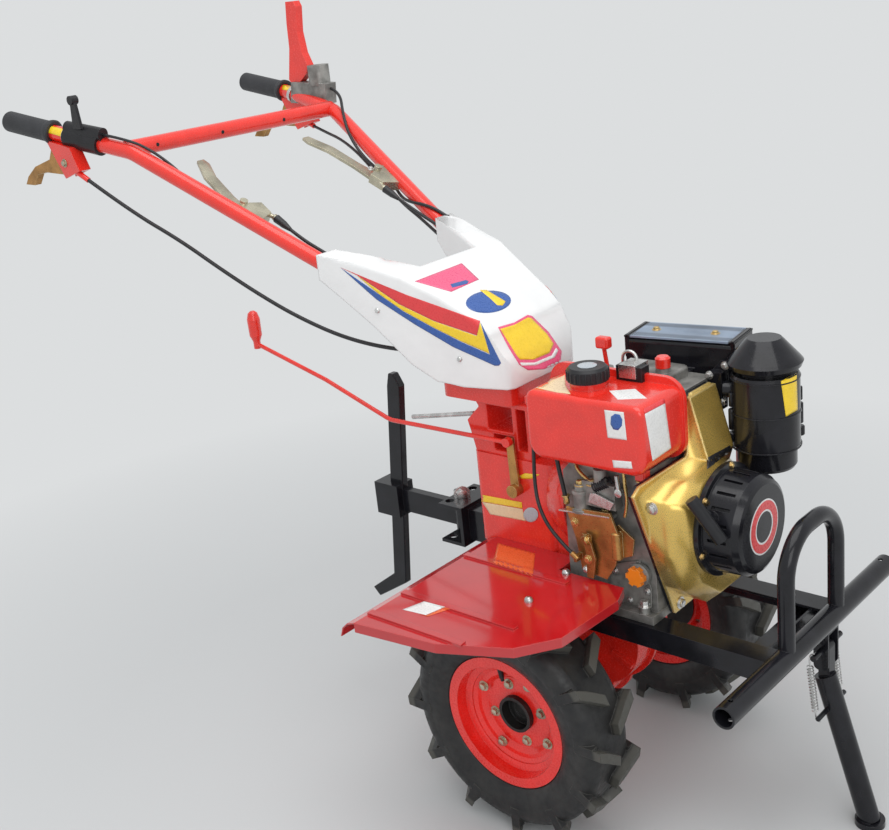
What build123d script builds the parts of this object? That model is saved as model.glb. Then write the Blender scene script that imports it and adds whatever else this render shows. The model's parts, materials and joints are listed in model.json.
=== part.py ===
from build123d import *
import math
import os

os.makedirs("parts", exist_ok=True)

# Walking garden cultivator with an air-cooled diesel engine.
# Millimetres. +X is the front of the machine, +Y its left side, +Z up.
# Everything is drawn with X = 0 over the wheel axle and Z = 0 on the floor.

# Driving dimensions
TYRE_R = 197.0          # to the lug tips
TYRE_W = 104.0
CROWN_R = 181.0
WHEEL_Y = 222.0         # middle plane of each wheel
RIM_R = 114.0           # flange of an 8 inch rim
RIM_HALF = 36.0
AXLE_Z = TYRE_R
AXLE_R = 15.0
CRANK_Z = 504.0         # crankshaft of the engine
RAIL_TOP = 348.0        # engine feet stand here
RAIL_Y = 110.0
BUMPER_X = 397.0
BUMPER_Z = 346.0
BUMPER_HALF = 263.0
BUMPER_R = 16.85        # 33.7 mm pipe
BUMPER_BORE = 13.65     # its wall is taken as 3.2 mm
HOOP_HALF = 80.0
HOOP_TOP = 530.0
STAND_Y = 56.0
STAND_X = 393.0         # pivot of the prop stand
STAND_Z = 296.0
SPRING_Z = 193.0        # lower pin of the stand springs
FOOT_X = 464.0
FENDER_Z = 407.0
HANDLE_R = 14.0
CROSS_R = 15.0
GRIP_R = 19.0
LEG_R = 17.0
TILT_X = -118.0         # pivot of the handlebar on its seat
TILT_Z = 716.0


def block(x0, x1, y0, y1, z0, z1):
    centre = Pos((x0 + x1) / 2, (y0 + y1) / 2, (z0 + z1) / 2)
    return centre * Box(x1 - x0, y1 - y0, z1 - z0)


def prism(points, vector):
    face = make_face(Polyline(*points, close=True))
    direction = Vector(*vector)
    return extrude(face, amount=direction.length, dir=direction.normalized())


def side_plate(outline, y0, y1):
    return prism([(x, y0, z) for x, z in outline], (0, y1 - y0, 0))


def flat_plate(outline, z0, z1):
    return prism([(x, y, z0) for x, y in outline], (0, 0, z1 - z0))


def rod(start, end, radius):
    a = Vector(*start)
    b = Vector(*end)
    plane = Plane(a, z_dir=(b - a).normalized())
    return extrude(plane * Circle(radius), amount=(b - a).length)


def pipe(points, radii, outer, inner=0.0):
    path = FilletPolyline(*points, radius=radii)
    plane = Plane(path @ 0, z_dir=path % 0)
    section = Circle(outer) if inner == 0 else Circle(outer) - Circle(inner)
    return sweep(plane * section, path=path)


def disc_x(x0, x1, y, z, radius):
    return rod((x0, y, z), (x1, y, z), radius)


def disc_y(x, y0, y1, z, radius):
    return rod((x, y0, z), (x, y1, z), radius)


def disc_z(x, y, z0, z1, radius):
    return rod((x, y, z0), (x, y, z1), radius)


def spun(outline, about):
    # outline holds (distance along the axis, radius) and is turned about that axis
    if about == "y":
        face = make_face(Polyline(*[(0, a, r) for a, r in outline], close=True))
        return revolve(face, axis=Axis.Y)
    if about == "x":
        face = make_face(Polyline(*[(a, 0, r) for a, r in outline], close=True))
        return revolve(face, axis=Axis.X)
    face = make_face(Polyline(*[(r, 0, a) for a, r in outline], close=True))
    return revolve(face, axis=Axis.Z)


def mirrored(solid):
    return mirror(solid, about=Plane.XZ)


def cord_radii(points):
    # tangent arcs as wide as the shorter run beside each corner allows
    radii = []
    for before, here, after in zip(points, points[1:], points[2:]):
        a = Vector(*here) - Vector(*before)
        b = Vector(*after) - Vector(*here)
        half_turn = math.radians(a.get_angle(b)) / 2
        radii.append(0.45 * min(a.length, b.length) / math.tan(half_turn))
    return radii


parts = {}

# Wheels: an open centre tyre with long bars, a pressed rim and a hub on a half shaft
LUGS_PER_SIDE = 12
LUG_PITCH = 360 / LUGS_PER_SIDE


def tyre():
    half = TYRE_W / 2
    crown = Line((0, -32, CROWN_R), (0, 32, CROWN_R))
    right = ThreePointArc((0, 32, CROWN_R), (0, 47, 172), (0, half, 148))
    right_low = ThreePointArc((0, half, 148), (0, 49, 131), (0, RIM_HALF + 4, RIM_R + 2))
    bead = Polyline((0, RIM_HALF + 4, RIM_R + 2), (0, RIM_HALF, RIM_R + 0.4), (0, RIM_HALF, 100),
                    (0, -RIM_HALF, 100), (0, -RIM_HALF, RIM_R + 0.4), (0, -RIM_HALF - 4, RIM_R + 2))
    left_low = ThreePointArc((0, -RIM_HALF - 4, RIM_R + 2), (0, -49, 131), (0, -half, 148))
    left = ThreePointArc((0, -half, 148), (0, -47, 172), (0, -32, CROWN_R))
    body = revolve(make_face([crown, right, right_low, bead, left_low, left]), axis=Axis.Y)
    bars = []
    for side, offset in ((1, 0.0), (-1, 0.5)):
        for index in range(LUGS_PER_SIDE):
            angle = (index + offset) * LUG_PITCH
            bar = prism([(9, side * 2, CROWN_R - 10),
                         (27, side * 2, CROWN_R - 10),
                         (3, side * 36, CROWN_R - 10),
                         (-8, side * (half + 1), CROWN_R - 10),
                         (-24, side * (half + 1), CROWN_R - 10),
                         (-14, side * 34, CROWN_R - 10)], (0, 0, 26))
            bar = bar & disc_y(0, -60, 60, 0, TYRE_R)
            skirt = prism([(-24, side * 40, CROWN_R - 34),
                           (-8, side * 40, CROWN_R - 34),
                           (-8, side * (half + 1), CROWN_R - 34),
                           (-24, side * (half + 1), CROWN_R - 34)], (0, 0, 34))
            bars.append(Rot(0, angle, 0) * (bar + skirt))
    return body + bars


def rim():
    barrel = spun([(-RIM_HALF - 3, RIM_R), (-RIM_HALF, RIM_R), (-RIM_HALF, 100), (-16, 98), (-13, 88),
                   (13, 88), (16, 98), (RIM_HALF, 100), (RIM_HALF, RIM_R), (RIM_HALF + 3, RIM_R),
                   (RIM_HALF + 3, 97.5), (18.5, 95.5), (15.5, 85), (-15.5, 85), (-18.5, 95.5),
                   (-RIM_HALF - 3, 97.5)], "y")
    web = spun([(-2, 31), (2, 31), (2, 62), (9, 70), (9, 78), (13, 86), (9, 86.5), (5, 80), (5, 72),
                (-2, 64)], "y")
    for radius, first in ((50, 16), (70, 62)):
        for quarter in range(4):
            turn = math.radians(first + 90 * quarter)
            web -= disc_y(radius * math.cos(turn), -6, 14, radius * math.sin(turn), 4.5)
    return barrel + web


def hub():
    # outer end is at +y, the half shaft runs to -y into the gear case
    sleeve = spun([(-62, AXLE_R), (-62, 24), (-6, 24), (-6, 60), (-2.0, 60), (-2.0, 31), (12, 31),
                   (12, 26), (-8, 26), (-8, AXLE_R)], "y")
    shaft = disc_y(0, -152, -10, 0, AXLE_R)
    return sleeve + shaft


wheel_axis = Pos(0, 0, AXLE_Z)
tyre_shape = tyre()
rim_shape = rim()
hub_shape = hub()
parts["tyre_left"] = wheel_axis * Pos(0, WHEEL_Y, 0) * tyre_shape
parts["rim_left"] = wheel_axis * Pos(0, WHEEL_Y, 0) * rim_shape
parts["hub_left"] = wheel_axis * Pos(0, WHEEL_Y, 0) * hub_shape
for name in ("tyre", "rim", "hub"):
    parts[name + "_right"] = mirrored(parts[name + "_left"])

# Gear case: a drop case around the axle, the main box and the bell behind the engine
CASE_HALF = 46.0
CASE_X = 24.0           # middle of the round part above the axle
CASE_Z = 262.0
CASE_R = 92.0


def gear_case():
    low = disc_y(0, -CASE_HALF, CASE_HALF, AXLE_Z, 66)
    middle = disc_y(CASE_X, -CASE_HALF, CASE_HALF, CASE_Z, CASE_R)
    neck = block(-70, 112, -CASE_HALF, CASE_HALF, CASE_Z, 380)
    flange = disc_y(CASE_X, -5, 5, CASE_Z, CASE_R + 8) + disc_y(0, -5, 5, AXLE_Z, 74)
    body = block(-186, -20, -62, 62, 396, 560)
    body = fillet(body.edges().filter_by(Axis.Z), 14)
    saddle = side_plate([(-150, 400), (-70, 330), (100, 330), (100, 420), (-20, 560), (-150, 470)], -56, 56)
    bell = Pos(0, 0, CRANK_Z) * spun([(-24, 0), (-24, 76), (6, 90), (20, 90), (20, 0)], "x")
    bosses = disc_y(0, -92, 92, AXLE_Z, 34)
    feet = block(-60, 10, -RAIL_Y + 4, RAIL_Y - 4, 318, RAIL_TOP - 4)
    whole = low + middle + neck + flange + body + saddle + bell + bosses + feet
    for side in (-1, 1):
        for angle in (-25, 15, 55, 125, 165):
            rib = block(48, CASE_R - 2, min(side * 44, side * 54), max(side * 44, side * 54), -4, 4)
            whole += Pos(CASE_X, 0, CASE_Z) * Rot(0, -angle, 0) * rib
    whole -= block(20, 300, -150, 150, RAIL_TOP, 700)
    return whole - disc_y(0, -95, 95, AXLE_Z, AXLE_R + 0.05)


parts["gear_case"] = gear_case()

# Post between the gear case and the handlebar seat, with an open window through it
post = side_plate([(-182, 560), (-62, 560), (-58, 600), (-58, 656), (-178, 656), (-168, 640), (-196, 612), (-190, 592)], -58, 58)
post -= block(-150, -98, -60, 60, 604, 646)
post -= block(-140, -98, -60, 60, 568, 596)
post -= block(-88, -70, -60, 60, 575, 646)
parts["handle_post"] = post

# Seat of the handlebar: a shallow pressed box with two ears inside the hood
seat = block(-234, -80, -74, 74, 656, 688)
seat = fillet(seat.edges().filter_by(Axis.Z), 18)
seat -= fillet(block(-230, -84, -70, 70, 660, 700).edges().filter_by(Axis.Z), 14)
for side in (-1, 1):
    seat += side_plate([(TILT_X - 34, 658), (TILT_X + 34, 658), (TILT_X + 14, TILT_Z + 10), (TILT_X - 14, TILT_Z + 10)],
                       side * 30, side * 36)
seat += disc_y(TILT_X, -50, 50, TILT_Z, 6)
parts["handle_seat"] = seat

# Front frame: two angle rails, a cross plate, the bumper tube and its hoop
frame = block(318, 362, -RAIL_Y + 4, RAIL_Y - 4, 318, 322) + block(358, 362, -RAIL_Y + 4, RAIL_Y - 4, 318, RAIL_TOP - 4)
for side in (-1, 1):
    inner, edge, outer = (side * y for y in (RAIL_Y - 40, RAIL_Y - 4, RAIL_Y))
    frame += block(-64, 388, min(inner, outer), max(inner, outer), RAIL_TOP - 4, RAIL_TOP)
    frame += block(-64, 388, min(edge, outer), max(edge, outer), 312, RAIL_TOP)
frame -= disc_y(BUMPER_X, -BUMPER_HALF, BUMPER_HALF, BUMPER_Z, BUMPER_R)
parts["frame_rails"] = frame

bumper = disc_y(BUMPER_X, -BUMPER_HALF, BUMPER_HALF, BUMPER_Z, BUMPER_R)
for side in (-1, 1):
    end_y = side * BUMPER_HALF
    bumper -= disc_y(BUMPER_X, min(end_y + side, end_y - side * 90), max(end_y + side, end_y - side * 90),
                     BUMPER_Z, BUMPER_BORE)
    bumper -= disc_z(BUMPER_X, end_y - side * 20, BUMPER_Z - 20, BUMPER_Z + 20, 4)
bumper += pipe([(BUMPER_X, -HOOP_HALF, BUMPER_Z + 12), (BUMPER_X, -HOOP_HALF, HOOP_TOP),
                (BUMPER_X, HOOP_HALF, HOOP_TOP), (BUMPER_X, HOOP_HALF, BUMPER_Z + 12)], 66, 12.5)
parts["bumper"] = bumper

# Prop stand: a channel under the bumper, a leg with a flat tongue on a pin, and two return springs
CHANNEL_HALF = 18.0
PIN_HALF = 46.0
bracket = block(380, 404, STAND_Y - CHANNEL_HALF, STAND_Y + CHANNEL_HALF, 262, 334)
bracket = fillet(bracket.edges().filter_by(Axis.Y).group_by(Axis.Z)[0], 9)
bracket -= block(370, 420, STAND_Y - CHANNEL_HALF + 3, STAND_Y + CHANNEL_HALF - 3, 250, 325)
bracket += prism([(388, STAND_Y - CHANNEL_HALF, 308), (388, STAND_Y - CHANNEL_HALF, 336),
                  (388, STAND_Y - CHANNEL_HALF - 28, 336)], (8, 0, 0))
bracket -= disc_y(STAND_X, STAND_Y - 30, STAND_Y + 30, STAND_Z, 5.06)
bracket -= disc_y(BUMPER_X, STAND_Y - 60, STAND_Y + 30, BUMPER_Z, BUMPER_R)
parts["stand_bracket"] = bracket

leg_top = Vector(STAND_X - 2, STAND_Y, STAND_Z - 50)
leg_foot = Vector(FOOT_X - 1, STAND_Y, 8)
leg = rod(leg_top, leg_foot, LEG_R)
leg += block(STAND_X - 9, STAND_X + 9, STAND_Y - 10, STAND_Y + 10, STAND_Z - 56, STAND_Z)
leg += disc_y(STAND_X, STAND_Y - 10, STAND_Y + 10, STAND_Z, 9)
leg += disc_y(STAND_X, STAND_Y - PIN_HALF, STAND_Y + PIN_HALF, STAND_Z, 5)
leg += disc_y(STAND_X + 7, STAND_Y - PIN_HALF, STAND_Y + PIN_HALF, SPRING_Z, 4)
leg += disc_z(FOOT_X, STAND_Y, 0, 10, 23)
parts["stand_leg"] = leg

springs = None
for side in (-1, 1):
    y = STAND_Y + side * (PIN_HALF - 4)
    coil = rod((STAND_X - 7, y, STAND_Z - 16), (STAND_X + 1, y, SPRING_Z + 12), 5.5)
    upper_hook = rod((STAND_X - 7.1, y, STAND_Z - 18), (STAND_X - 7.1, y, STAND_Z + 5), 2)
    lower_hook = rod((STAND_X + 0.9, y, SPRING_Z - 5), (STAND_X + 0.9, y, SPRING_Z + 14), 2)
    spring = coil + upper_hook + lower_hook
    springs = spring if springs is None else springs + spring
parts["stand_springs"] = springs

# Fenders: flat pressed panels over the tyres, rolled down at the back and the edges
FENDER_EDGE = [(142, 112), (157, 150), (150, 285), (108, 345), (0, 394), (-150, 412)]
panel = flat_plate([(-150, 62), (18, 62), (18, 112)] + FENDER_EDGE, FENDER_Z - 2, FENDER_Z)
inside = [(x - 2, y - 1.6) for x, y in FENDER_EDGE]
lip = flat_plate(FENDER_EDGE + inside[::-1], FENDER_Z - 16, FENDER_Z)
roll = side_plate([(-150, FENDER_Z), (-166, FENDER_Z - 5), (-178, FENDER_Z - 16), (-184, FENDER_Z - 32),
                   (-182, FENDER_Z - 32), (-176.4, FENDER_Z - 17), (-165, FENDER_Z - 7), (-150, FENDER_Z - 2)], 64, 412)
fender = panel + lip + roll + block(-140, -30, 62, 64, FENDER_Z - 26, FENDER_Z)
for y, x_end in ((146, 60), (300, 78), (376, 40)):
    fender += block(-150, x_end, y - 6, y + 6, FENDER_Z, FENDER_Z + 4)
parts["fender_left"] = fender
parts["fender_right"] = mirrored(fender)

# Engine: block, head, blower housing, recoil starter, tank, muffler and air cleaner
crankcase = block(25, 186, -102, 102, RAIL_TOP, RAIL_TOP + 14)
crankcase += side_plate([(20, 362), (184, 362), (184, 570), (172, 592), (40, 592), (20, 570)], -84, 84)
crankcase += block(40, 176, 80, 108, 540, 592)
for x in (44, 166):
    for y in (-93, 93):
        crankcase += disc_z(x, y, RAIL_TOP + 10, RAIL_TOP + 26, 8)
parts["crankcase"] = crankcase

HEAD_Z = 672.0
COVER_Z = 706.0
cylinder = block(56, 164, 14, 98, 592, HEAD_Z)
for z in range(600, 670, 12):
    cylinder += block(44, 178, 4, 108, z, z + 3)
parts["cylinder"] = cylinder

head = block(36, 180, 4, 108, HEAD_Z, HEAD_Z + 18)
cover = block(44, 148, 15, 100, HEAD_Z + 18, COVER_Z)
cover = fillet(cover.edges().filter_by(Axis.Z), 14)
cover = fillet(cover.faces().sort_by(Axis.Z)[-1].edges(), 5)
filler_neck = spun([(HEAD_Z + 18, 0), (HEAD_Z + 18, 16), (714, 11), (714, 0)], "z")
rocker_cover = head + cover + Pos(128, 50, 0) * filler_neck
rocker_cover += disc_z(40, 24, HEAD_Z + 18, 712, 11)
parts["rocker_cover"] = rocker_cover

oil_cap = spun([(714, 0), (714, 12), (729, 12), (732, 9), (732, 0)], "z")
parts["oil_cap"] = Pos(128, 50, 0) * oil_cap

valve_lever = rod((42, 23, 712.4), (39, 21, 745), 3.5)
valve_knob = block(27, 51, 13, 29, 743, 762)
valve_lever += fillet(valve_knob.edges(), 4)
parts["valve_lever"] = valve_lever

# Lifting eye: a bent wire standing on the head
parts["lifting_eye"] = pipe([(82, 9, HEAD_Z + 18), (82, 9, 748), (108, 9, 748), (108, 9, HEAD_Z + 18)],
                            12.9, 2.5)

HOUSING_BACK = [(-150, 584), (-132, 594), (-2, 594), (2, 600), (2, 674), (20, 690), (76, 690), (90, 676), (90, 540),
                (130, 532), (160, 506), (170, 470), (158, 430), (110, 376), (60, 352), (-54, 350)]
HOUSING_FRONT = [(-118, 566), (-70, 584), (8, 592), (80, 560), (92, 530), (126, 524), (152, 500), (158, 470),
                 (146, 434), (104, 386), (50, 364), (-20, 364), (-80, 410), (-112, 480)]
parts["blower_plate"] = prism([(186, y, z) for y, z in HOUSING_BACK], (5, 0, 0))
housing = prism([(191, y, z) for y, z in HOUSING_BACK], (5, 0, 0))
housing += prism([(196, y, z) for y, z in HOUSING_FRONT], (36, 0, 0))
nose = [(y * 0.86 + 2, CRANK_Z + (z - CRANK_Z) * 0.86) for y, z in HOUSING_FRONT]
housing += loft([make_face(Polyline(*[(232, y, z) for y, z in HOUSING_FRONT], close=True)),
                 make_face(Polyline(*[(254, y, z) for y, z in nose], close=True))])
housing += side_plate([(196, 560), (232, 560), (230, 590), (202, 688), (196, 688)], 4, 80)
parts["blower_housing"] = housing

recoil = spun([(254, 0), (254, 88), (262, 88), (263, 80), (310, 78), (319, 72), (322, 66), (322, 0)], "x")
recoil = Pos(0, 0, CRANK_Z) * recoil
for index in range(20):
    recoil -= Pos(0, 0, CRANK_Z) * Rot(index * 18, 0, 0) * block(272, 302, -2.5, 2.5, 74, 84)
recoil += rod((276, -60, 530), (276, -92, 546), 12)
parts["recoil_starter"] = recoil

grip = rod((262, -102, 576), (300, -86, 512), 10) - recoil
parts["recoil_handle"] = grip

# Fuel tank: a deep pressed shell on the right, closed by a flange near the middle of the engine
TANK_NEAR = -124.0
TANK_SEAM = -16.0
TANK_TOP = 712.0
CAP_X = 68.0
CAP_Y = -66.0
shell = block(-14, 200, TANK_NEAR, TANK_SEAM + 2, 602, TANK_TOP)
corners = shell.edges().filter_by(Axis.Y).group_by(Axis.X)
shell = fillet([corners[0].sort_by(Axis.Z)[0], corners[1].sort_by(Axis.Z)[0]], 26)
shell = fillet(shell.edges().filter_by(Axis.Y).group_by(Axis.Z)[-1], 16)
shell = fillet(shell.faces().sort_by(Axis.Y)[0].edges(), 9)
seam = block(-44, 204, TANK_SEAM, TANK_SEAM + 8, 594, 724)
seam = fillet(seam.edges().filter_by(Axis.Y), 34)
back = block(-34, 194, TANK_SEAM + 8, TANK_SEAM + 13, 604, 714)
back = fillet(back.edges().filter_by(Axis.Y), 26)
tank = shell + seam + back
tank += spun([(700, 0), (700, 30), (712, 28), (722, 28), (722, 0)], "z").moved(Location((CAP_X, CAP_Y, 0)))
tank += block(60, 120, TANK_SEAM + 12, 4, 640, 668)
tank += block(-30, -12, -102, -88, 680, 692)
parts["fuel_tank"] = tank

cap = spun([(722, 0), (722, 32), (740, 32), (744, 28), (744, 0)], "z")
parts["tank_cap"] = Pos(CAP_X, CAP_Y, 0) * cap

# Clamp over the tank's flange, bolted to the head
parts["tank_pad"] = block(91, 137, -24, -3, 706, 735) - tank
clamp = block(98, 128, -27, 8, 735, 738) + block(98, 128, -27, -24, 717, 736)
clamp += block(114, 128, 5, 8, HEAD_Z + 18, 736)
parts["tank_clamp"] = clamp

# Muffler: a flat box set a little askew, under a pierced guard
MUFFLER_X = 108.0
MUFFLER_Y = 159.0
MUFFLER_TURN = 8.4
muffler = block(-93, 93, -40, 40, 664, 736)
muffler = fillet(muffler.edges().filter_by(Axis.X), 10)
askew = Pos(MUFFLER_X, MUFFLER_Y, 0) * Rot(0, 0, MUFFLER_TURN)
muffler = askew * muffler
muffler += block(90, 140, 108, 132, 674, 692)
parts["muffler"] = muffler
parts["muffler_guard"] = askew * block(-94, 94, -41, 41, 736, 739)

CLEANER_X = 262.0
CLEANER_Y = 125.0
can = spun([(549, 0), (549, 44), (554, 47), (583, 47), (586, 52.5), (698, 52.5), (702, 50), (702, 38), (712, 38),
            (712, 55), (720, 58), (725, 54), (752, 30), (756, 26), (756, 0)], "z")
parts["air_cleaner"] = Pos(CLEANER_X, CLEANER_Y, 0) * can
arm = block(180, 204, 94, 108, 640, 700) + rod((203, 101, 672), (234, 114, 672), 13)
arm += side_plate([(160, 676), (196, 716), (207, 716), (204, 640), (190, 640)], 108, 112)
parts["intake_arm"] = arm - parts["air_cleaner"]

governor = side_plate([(40, 521), (123, 527), (138, 487), (128, 440), (110, 412), (64, 418), (56, 470)], -110, -106)
governor += block(60, 100, -107, -84, 424, 444) + block(60, 100, -107, -84, 490, 510)
governor += rod((56.3, -124, 450.8), (68, -125, 443.4), 4.5) + block(60, 66, -126, -109, 438, 448)
governor += side_plate([(74, 486), (86, 486), (96, 446), (90, 412), (78, 412), (80, 446)], -118, -114)
governor += disc_y(80, -122, -110, 478, 6)
parts["governor_plate"] = governor

pump = block(70, 130, -104, -84, 530, 570) + disc_z(100, -96, 570, 592, 10)
parts["injection_pump"] = pump

oil_plug = disc_y(157, -104, -84, 424, 13)
for turn in range(6):
    oil_plug += Pos(157, 0, 424) * Rot(0, turn * 60, 0) * block(9, 16, -104, -94, -4, 4)
parts["oil_filler"] = oil_plug

# Hitch: a clevis behind the gear case, the arm in it and the depth bar
HITCH_X = -281.0
HITCH_Y = 32.0          # two free pin holes beside the middle one that holds the drawbar
HITCH_LOW = 360.0
HITCH_TOP = 435.0
HITCH_PIN_R = 8.25
clevis = block(-293, -239, -50, 50, HITCH_LOW, HITCH_TOP)
clevis -= block(-300, -246, -60, 60, HITCH_LOW + 6, HITCH_TOP - 6)
clevis += block(-240, -186, -32, 32, HITCH_LOW + 8, HITCH_TOP - 8)
for y in (-HITCH_Y, 0, HITCH_Y):
    clevis -= disc_z(HITCH_X, y, HITCH_LOW - 2, HITCH_TOP + 2, HITCH_PIN_R)
parts["hitch_clevis"] = clevis

bar = side_plate([(-399, 628), (-412, 650), (-424, 650), (-431, 624), (-476, 230), (-540, 184), (-524, 168), (-446, 216)], -8, 8)
drawbar = block(-440, -254, -8, 8, 376, 420) + block(-482, -424, -22, 22, 366, 430)
drawbar += disc_z(HITCH_X, 0, HITCH_LOW + 6, HITCH_TOP - 6, 14)
drawbar += disc_z(HITCH_X, 0, HITCH_LOW - 12, HITCH_TOP, HITCH_PIN_R)
drawbar += disc_z(HITCH_X, 0, HITCH_TOP, HITCH_TOP + 9, 13)
parts["drawbar"] = drawbar - bar
parts["depth_bar"] = bar

# Gear change: a long bent lever beside the post, the arm that it turns, and two pull rods
SHIFT_Y = -75.0
lever = pipe([(-102, SHIFT_Y, 594), (-363, SHIFT_Y, 592), (-518, SHIFT_Y, 646), (-699, SHIFT_Y, 694)], [60, 60], 4)
lever += disc_y(-97, SHIFT_Y - 5, SHIFT_Y + 5, 594, 8)
knob = spun([(686, 0), (686, 7), (700, 7), (712, 12), (744, 12.5), (756, 9), (760, 4), (760, 0)], "z")
lever += Pos(-701, SHIFT_Y, 0) * knob
parts["gear_lever"] = lever

shift_arm = side_plate([(-104, 600), (-90, 600), (-84, 508), (-102, 508)], SHIFT_Y + 5, SHIFT_Y + 10)
shift_arm += disc_y(-93, SHIFT_Y - 5, -62, 508, 11)
parts["shift_arm"] = shift_arm

pull_rods = rod((-380, 0, 570), (-194, 0, 606), 4) + rod((-330, -50, 594), (-185, -50, 623), 4)
parts["shift_rod"] = pull_rods - post

# Handlebar: two tubes from a yoke in the hood, bent near the cross tube
tube_points = [(-150, 66, 752), (-390, 151.5, 889), (-745, 247, 1089), (-925, 281, 1128), (-1044, 287, 1148)]
tube = pipe(tube_points, 60, HANDLE_R)
bars = tube + mirrored(tube)
bars += disc_y(-758, -250, 250, 1093, CROSS_R)
bars += block(-180, -100, -62, 62, 741, 747)
for side in (-1, 1):
    bars += side_plate([(TILT_X - 50, 741), (TILT_X + 18, 741), (TILT_X + 14, TILT_Z - 14), (TILT_X - 14, TILT_Z - 14)],
                       side * 41.3, side * 47)
    bars += rod((-150, side * 66, 752), (-160, side * 44, 744), 9)
bars -= disc_y(TILT_X, -60, 60, TILT_Z, 6.06)

# Hand levers: a folded bracket welded under each tube and a curved lever on its pin
LEVER_Y = 284.0
LEVER_PIN_X = -885.0
LEVER_PIN_Z = 1076.0
hanger = side_plate([(-932, 1116), (-862, 1103), (-843, 1062), (-891, 1048)], LEVER_Y - 12, LEVER_Y + 12)
hanger -= side_plate([(-945, 1108), (-870, 1095), (-850, 1055), (-880, 1030), (-960, 1040)],
                     LEVER_Y - 8.5, LEVER_Y + 8.5)
hanger -= disc_y(LEVER_PIN_X, LEVER_Y - 20, LEVER_Y + 20, LEVER_PIN_Z, 4.03)
bars += hanger + mirrored(hanger)
bars += rod((-862, -291, 1061.5), (-838, -284, 1044), 5)
bars += rod((-868, 283, 1060), (-846, 279, 1054), 5)      # the barrels that the two low cables start from
parts["handlebar"] = bars

hand_lever = side_plate([(-928, 1102), (-942, 1081), (-996, 1067), (-1027, 1048), (-1040, 1033), (-1010, 1032),
                         (-992, 1052), (-961, 1057), (-901, 1054), (-872, 1070), (-880, 1090)],
                        LEVER_Y - 7, LEVER_Y + 7)
hand_lever += disc_y(LEVER_PIN_X, LEVER_Y - 14, LEVER_Y + 14, LEVER_PIN_Z, 4)
parts["hand_levers"] = hand_lever + mirrored(hand_lever)

# Steering levers: a bracket inside each tube, a flat blade under it and the fitting of its cable
BAR_SLOPE = Plane(origin=(-390, 0, 889), x_dir=(-355, 0, 200), z_dir=(200, 0, 355))
BAR_RUN = math.hypot(355, 200) / 355


def bar_plate(outline, low, high):
    # a plate in the plane of the two handle tubes, drawn in plan, from low to high above it
    flat = [((-390 - x) * BAR_RUN, -y, low) for x, y in outline]
    return BAR_SLOPE * prism(flat, (0, 0, high - low))


steer = bar_plate([(-570, 192), (-553, 136), (-526, 140), (-514, 176)], -13, 5)
steer += bar_plate([(-704, 122), (-690, 121), (-655, 138), (-600, 149), (-556, 152), (-548, 168), (-566, 180),
                    (-604, 169), (-662, 159), (-704, 137)], -18, -12.5)
steer += BAR_SLOPE * disc_z((-390 + 563) * BAR_RUN, -167, -24, 10, 7)
steer += rod((-540, 143, 971), (-520, 136.9, 959.7), 4)
boot_axis = Plane((-517, 136, 958), z_dir=(31, 0, -17))     # the boot starts here, against the collar of the fitting
steer += boot_axis * Pos(0, 0, -2.5) * Cylinder(6, 5)
steer -= tube
parts["steer_levers"] = steer + mirrored(steer)

# Lock: a cast clamp on the left tube, its drum and the tall lever pinned to it
LOCK_Y = 275.0
lock_clamp = side_plate([(-875, 1147), (-884, 1105), (-780, 1100), (-775, 1141)], LOCK_Y - 17, LOCK_Y + 15)
lock_clamp += disc_z(-806, LOCK_Y, 1138, 1178, 22)
lock_clamp -= bars
parts["lock_clamp"] = lock_clamp
tall = side_plate([(-868, 1305), (-873, 1262), (-875, 1214), (-889, 1151), (-873, 1134), (-833, 1162), (-827, 1178),
                   (-839, 1203), (-845, 1245), (-839, 1294), (-845, 1305)], LOCK_Y - 9, LOCK_Y + 9)
parts["lock_lever"] = tall - lock_clamp

# Throttle: a clamp on the right tube with a short thumb lever
throttle = rod((-889, -274, 1120), (-812, -259.5, 1103.5), 20) + rod((-885, -276, 1136), (-800, -262, 1121), 12)
throttle += side_plate([(-856, 1134), (-832, 1134), (-838, 1184), (-850, 1184)], -284, -278)
throttle += disc_y(-844, -288, -274, 1184, 8)
parts["throttle"] = throttle - bars

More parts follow.
